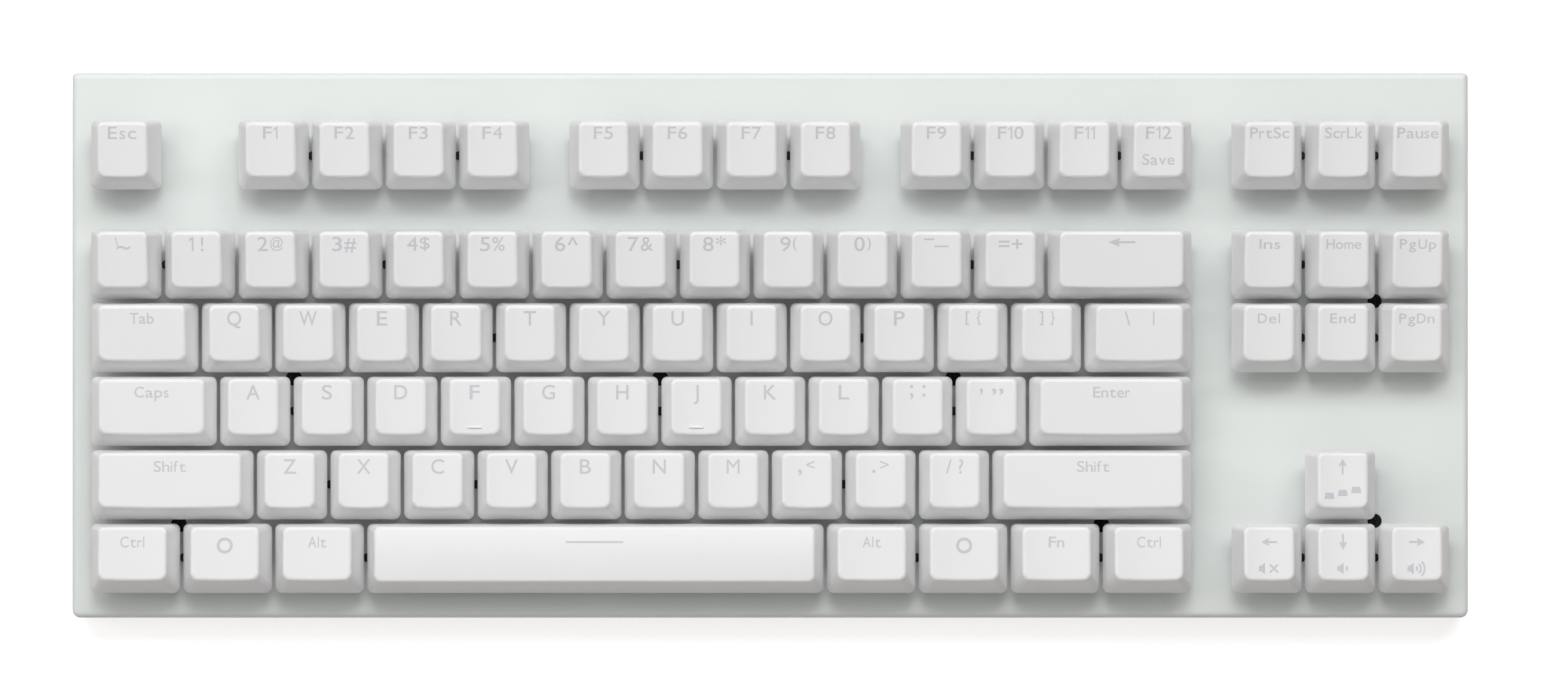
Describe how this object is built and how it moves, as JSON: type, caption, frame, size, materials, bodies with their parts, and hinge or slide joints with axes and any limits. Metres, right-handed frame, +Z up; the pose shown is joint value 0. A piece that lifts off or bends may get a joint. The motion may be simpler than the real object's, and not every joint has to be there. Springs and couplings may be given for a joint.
{
  "type": "mechanical keyboard",
  "caption": "Tenkeyless mechanical keyboard: sculpted caps standing clear above a flat white panel, on a wedge case with flip-out feet.",
  "frame": {"origin": "middle of the keyboard's footprint, on the desk", "axes": "+X to the typist's right, +Y away from the typist, +Z up"},
  "size_m": [0.3632, 0.143, 0.0411],
  "materials": {
    "keycap_plastic": "fine satin",
    "legend_resin": "translucent satin",
    "panel_paint": "satin",
    "case_plastic": "satin",
    "switch_plastic": "semi-matt",
    "cover_plastic": "milky",
    "board_laminate": "solder mask",
    "foam": "open cell",
    "spring_steel": "bright",
    "contact_brass": "bright",
    "lamp_resin": "glossy",
    "chip_resin": "matt",
    "socket_steel": "brushed",
    "black_fastener": "black oxide",
    "black_plastic": "matt",
    "foot_rubber": "matt"
  },
  "bodies": {
    "housing": {"bottom_case": "case_plastic", "top_panel": "panel_paint", "circuit_board": "board_laminate", "sound_foam": "foam", "switch_bases": "switch_plastic", "switch_covers": "cover_plastic", "switch_springs": "spring_steel", "switch_contacts": "contact_brass", "key_leds": "lamp_resin", "controller_chip": "chip_resin", "usb_socket": "socket_steel", "panel_screws": "black_fastener", "locating_pins": "black_plastic", "rubber_feet": "foot_rubber", "stabiliser_housings": "switch_plastic"},
    "left_tilt_foot": {"left_tilt_foot": "case_plastic"},
    "right_tilt_foot": {"right_tilt_foot": "case_plastic"},
    "space_key": {"space_key": "keycap_plastic"},
    "enter_key": {"enter_key": "keycap_plastic"},
    "backspace_key": {"backspace_key": "keycap_plastic"},
    "left_shift_key": {"left_shift_key": "keycap_plastic"},
    "right_shift_key": {"right_shift_key": "keycap_plastic"},
    "escape_key": {"escape_key": "keycap_plastic"},
    "function_keys": {"function_keys": "keycap_plastic"},
    "navigation_keys": {"navigation_keys": "keycap_plastic"},
    "number_keys": {"number_keys": "keycap_plastic"},
    "modifier_keys": {"modifier_keys": "keycap_plastic"},
    "punctuation_keys": {"punctuation_keys": "keycap_plastic"},
    "arrow_keys": {"arrow_keys": "keycap_plastic"},
    "letter_a": {"letter_a": "keycap_plastic"},
    "letter_b": {"letter_b": "keycap_plastic"},
    "letter_c": {"letter_c": "keycap_plastic"},
    "letter_d": {"letter_d": "keycap_plastic"},
    "letter_e": {"letter_e": "keycap_plastic"},
    "letter_f": {"letter_f": "keycap_plastic"},
    "letter_g": {"letter_g": "keycap_plastic"},
    "letter_h": {"letter_h": "keycap_plastic"},
    "letter_i": {"letter_i": "keycap_plastic"},
    "letter_j": {"letter_j": "keycap_plastic"},
    "letter_k": {"letter_k": "keycap_plastic"},
    "letter_l": {"letter_l": "keycap_plastic"},
    "letter_m": {"letter_m": "keycap_plastic"},
    "letter_n": {"letter_n": "keycap_plastic"},
    "letter_o": {"letter_o": "keycap_plastic"},
    "letter_p": {"letter_p": "keycap_plastic"},
    "letter_q": {"letter_q": "keycap_plastic"},
    "letter_r": {"letter_r": "keycap_plastic"},
    "letter_s": {"letter_s": "keycap_plastic"},
    "letter_t": {"letter_t": "keycap_plastic"},
    "letter_u": {"letter_u": "keycap_plastic"},
    "letter_v": {"letter_v": "keycap_plastic"},
    "letter_w": {"letter_w": "keycap_plastic"},
    "letter_x": {"letter_x": "keycap_plastic"},
    "letter_y": {"letter_y": "keycap_plastic"},
    "letter_z": {"letter_z": "keycap_plastic"},
    "backspace_wire": {"backspace_wire": "spring_steel"},
    "enter_wire": {"enter_wire": "spring_steel"},
    "left_shift_wire": {"left_shift_wire": "spring_steel"},
    "right_shift_wire": {"right_shift_wire": "spring_steel"},
    "space_wire": {"space_wire": "spring_steel"}
  },
  "joints": [
    {"name": "left_foot_flip", "type": "hinge", "parent": "housing", "child": "left_tilt_foot", "pos_m": [-0.15, 0.06138, 0.0034], "axis": [1, 0, 0], "range_deg": [0, 85]},
    {"name": "right_foot_flip", "type": "hinge", "parent": "housing", "child": "right_tilt_foot", "pos_m": [0.15, 0.06138, 0.0034], "axis": [1, 0, 0], "range_deg": [0, 85]},
    {"name": "space_press", "type": "slide", "parent": "housing", "child": "space_key", "axis": [0, 0.0785, -0.9969], "range_m": [0, 0.004], "stiffness_N_per_m": 90, "springref_m": -0.004, "deforming": ["switch_springs"]},
    {"name": "enter_press", "type": "slide", "parent": "housing", "child": "enter_key", "axis": [0, 0.0785, -0.9969], "range_m": [0, 0.004], "stiffness_N_per_m": 75, "springref_m": -0.004},
    {"name": "backspace_press", "type": "slide", "parent": "housing", "child": "backspace_key", "axis": [0, 0.0785, -0.9969], "range_m": [0, 0.004], "stiffness_N_per_m": 75, "springref_m": -0.004},
    {"name": "left_shift_press", "type": "slide", "parent": "housing", "child": "left_shift_key", "axis": [0, 0.0785, -0.9969], "range_m": [0, 0.004], "stiffness_N_per_m": 75, "springref_m": -0.004},
    {"name": "right_shift_press", "type": "slide", "parent": "housing", "child": "right_shift_key", "axis": [0, 0.0785, -0.9969], "range_m": [0, 0.004], "stiffness_N_per_m": 75, "springref_m": -0.004},
    {"name": "escape_press", "type": "slide", "parent": "housing", "child": "escape_key", "axis": [0, 0.0785, -0.9969], "range_m": [0, 0.004], "stiffness_N_per_m": 75, "springref_m": -0.004},
    {"name": "function_keys_press", "type": "slide", "parent": "housing", "child": "function_keys", "axis": [0, 0.0785, -0.9969], "range_m": [0, 0.004], "stiffness_N_per_m": 900, "springref_m": -0.004},
    {"name": "navigation_keys_press", "type": "slide", "parent": "housing", "child": "navigation_keys", "axis": [0, 0.0785, -0.9969], "range_m": [0, 0.004], "stiffness_N_per_m": 675, "springref_m": -0.004},
    {"name": "number_keys_press", "type": "slide", "parent": "housing", "child": "number_keys", "axis": [0, 0.0785, -0.9969], "range_m": [0, 0.004], "stiffness_N_per_m": 975, "springref_m": -0.004},
    {"name": "modifier_keys_press", "type": "slide", "parent": "housing", "child": "modifier_keys", "axis": [0, 0.0785, -0.9969], "range_m": [0, 0.004], "stiffness_N_per_m": 675, "springref_m": -0.004},
    {"name": "punctuation_keys_press", "type": "slide", "parent": "housing", "child": "punctuation_keys", "axis": [0, 0.0785, -0.9969], "range_m": [0, 0.004], "stiffness_N_per_m": 600, "springref_m": -0.004},
    {"name": "arrow_keys_press", "type": "slide", "parent": "housing", "child": "arrow_keys", "axis": [0, 0.0785, -0.9969], "range_m": [0, 0.004], "stiffness_N_per_m": 300, "springref_m": -0.004},
    {"name": "letter_a_press", "type": "slide", "parent": "housing", "child": "letter_a", "axis": [0, 0.0785, -0.9969], "range_m": [0, 0.004], "stiffness_N_per_m": 75, "springref_m": -0.004},
    {"name": "letter_b_press", "type": "slide", "parent": "housing", "child": "letter_b", "axis": [0, 0.0785, -0.9969], "range_m": [0, 0.004], "stiffness_N_per_m": 75, "springref_m": -0.004},
    {"name": "letter_c_press", "type": "slide", "parent": "housing", "child": "letter_c", "axis": [0, 0.0785, -0.9969], "range_m": [0, 0.004], "stiffness_N_per_m": 75, "springref_m": -0.004},
    {"name": "letter_d_press", "type": "slide", "parent": "housing", "child": "letter_d", "axis": [0, 0.0785, -0.9969], "range_m": [0, 0.004], "stiffness_N_per_m": 75, "springref_m": -0.004},
    {"name": "letter_e_press", "type": "slide", "parent": "housing", "child": "letter_e", "axis": [0, 0.0785, -0.9969], "range_m": [0, 0.004], "stiffness_N_per_m": 75, "springref_m": -0.004},
    {"name": "letter_f_press", "type": "slide", "parent": "housing", "child": "letter_f", "axis": [0, 0.0785, -0.9969], "range_m": [0, 0.004], "stiffness_N_per_m": 75, "springref_m": -0.004},
    {"name": "letter_g_press", "type": "slide", "parent": "housing", "child": "letter_g", "axis": [0, 0.0785, -0.9969], "range_m": [0, 0.004], "stiffness_N_per_m": 75, "springref_m": -0.004},
    {"name": "letter_h_press", "type": "slide", "parent": "housing", "child": "letter_h", "axis": [0, 0.0785, -0.9969], "range_m": [0, 0.004], "stiffness_N_per_m": 75, "springref_m": -0.004},
    {"name": "letter_i_press", "type": "slide", "parent": "housing", "child": "letter_i", "axis": [0, 0.0785, -0.9969], "range_m": [0, 0.004], "stiffness_N_per_m": 75, "springref_m": -0.004},
    {"name": "letter_j_press", "type": "slide", "parent": "housing", "child": "letter_j", "axis": [0, 0.0785, -0.9969], "range_m": [0, 0.004], "stiffness_N_per_m": 75, "springref_m": -0.004},
    {"name": "letter_k_press", "type": "slide", "parent": "housing", "child": "letter_k", "axis": [0, 0.0785, -0.9969], "range_m": [0, 0.004], "stiffness_N_per_m": 75, "springref_m": -0.004},
    {"name": "letter_l_press", "type": "slide", "parent": "housing", "child": "letter_l", "axis": [0, 0.0785, -0.9969], "range_m": [0, 0.004], "stiffness_N_per_m": 75, "springref_m": -0.004},
    {"name": "letter_m_press", "type": "slide", "parent": "housing", "child": "letter_m", "axis": [0, 0.0785, -0.9969], "range_m": [0, 0.004], "stiffness_N_per_m": 75, "springref_m": -0.004},
    {"name": "letter_n_press", "type": "slide", "parent": "housing", "child": "letter_n", "axis": [0, 0.0785, -0.9969], "range_m": [0, 0.004], "stiffness_N_per_m": 75, "springref_m": -0.004},
    {"name": "letter_o_press", "type": "slide", "parent": "housing", "child": "letter_o", "axis": [0, 0.0785, -0.9969], "range_m": [0, 0.004], "stiffness_N_per_m": 75, "springref_m": -0.004},
    {"name": "letter_p_press", "type": "slide", "parent": "housing", "child": "letter_p", "axis": [0, 0.0785, -0.9969], "range_m": [0, 0.004], "stiffness_N_per_m": 75, "springref_m": -0.004},
    {"name": "letter_q_press", "type": "slide", "parent": "housing", "child": "letter_q", "axis": [0, 0.0785, -0.9969], "range_m": [0, 0.004], "stiffness_N_per_m": 75, "springref_m": -0.004},
    {"name": "letter_r_press", "type": "slide", "parent": "housing", "child": "letter_r", "axis": [0, 0.0785, -0.9969], "range_m": [0, 0.004], "stiffness_N_per_m": 75, "springref_m": -0.004},
    {"name": "letter_s_press", "type": "slide", "parent": "housing", "child": "letter_s", "axis": [0, 0.0785, -0.9969], "range_m": [0, 0.004], "stiffness_N_per_m": 75, "springref_m": -0.004},
    {"name": "letter_t_press", "type": "slide", "parent": "housing", "child": "letter_t", "axis": [0, 0.0785, -0.9969], "range_m": [0, 0.004], "stiffness_N_per_m": 75, "springref_m": -0.004},
    {"name": "letter_u_press", "type": "slide", "parent": "housing", "child": "letter_u", "axis": [0, 0.0785, -0.9969], "range_m": [0, 0.004], "stiffness_N_per_m": 75, "springref_m": -0.004},
    {"name": "letter_v_press", "type": "slide", "parent": "housing", "child": "letter_v", "axis": [0, 0.0785, -0.9969], "range_m": [0, 0.004], "stiffness_N_per_m": 75, "springref_m": -0.004},
    {"name": "letter_w_press", "type": "slide", "parent": "housing", "child": "letter_w", "axis": [0, 0.0785, -0.9969], "range_m": [0, 0.004], "stiffness_N_per_m": 75, "springref_m": -0.004},
    {"name": "letter_x_press", "type": "slide", "parent": "housing", "child": "letter_x", "axis": [0, 0.0785, -0.9969], "range_m": [0, 0.004], "stiffness_N_per_m": 75, "springref_m": -0.004},
    {"name": "letter_y_press", "type": "slide", "parent": "housing", "child": "letter_y", "axis": [0, 0.0785, -0.9969], "range_m": [0, 0.004], "stiffness_N_per_m": 75, "springref_m": -0.004},
    {"name": "letter_z_press", "type": "slide", "parent": "housing", "child": "letter_z", "axis": [0, 0.0785, -0.9969], "range_m": [0, 0.004], "stiffness_N_per_m": 75, "springref_m": -0.004},
    {"name": "backspace_wire_turn", "type": "hinge", "parent": "housing", "child": "backspace_wire", "pos_m": [0.09049, 0.02784, 0.01938], "axis": [1, 0, 0], "range_deg": [0, 30.5]},
    {"name": "enter_wire_turn", "type": "hinge", "parent": "housing", "child": "enter_wire", "pos_m": [0.08811, -0.01014, 0.01639], "axis": [1, 0, 0], "range_deg": [0, 30.5]},
    {"name": "left_shift_wire_turn", "type": "hinge", "parent": "housing", "child": "left_shift_wire", "pos_m": [-0.15478, -0.02913, 0.0149], "axis": [1, 0, 0], "range_deg": [0, 30.5]},
    {"name": "right_shift_wire_turn", "type": "hinge", "parent": "housing", "child": "right_shift_wire", "pos_m": [0.08334, -0.02913, 0.0149], "axis": [1, 0, 0], "range_deg": [0, 30.5]},
    {"name": "space_wire_turn", "type": "hinge", "parent": "housing", "child": "space_wire", "pos_m": [-0.04524, -0.04812, 0.0134], "axis": [1, 0, 0], "range_deg": [0, 30.5]}
  ],
  "couplings": [
    {"joint": "backspace_wire_turn", "follows": "backspace_press", "rad_per_m": 131.38},
    {"joint": "enter_wire_turn", "follows": "enter_press", "rad_per_m": 131.38},
    {"joint": "left_shift_wire_turn", "follows": "left_shift_press", "rad_per_m": 131.38},
    {"joint": "right_shift_wire_turn", "follows": "right_shift_press", "rad_per_m": 131.38},
    {"joint": "space_wire_turn", "follows": "space_press", "rad_per_m": 131.38}
  ]
}
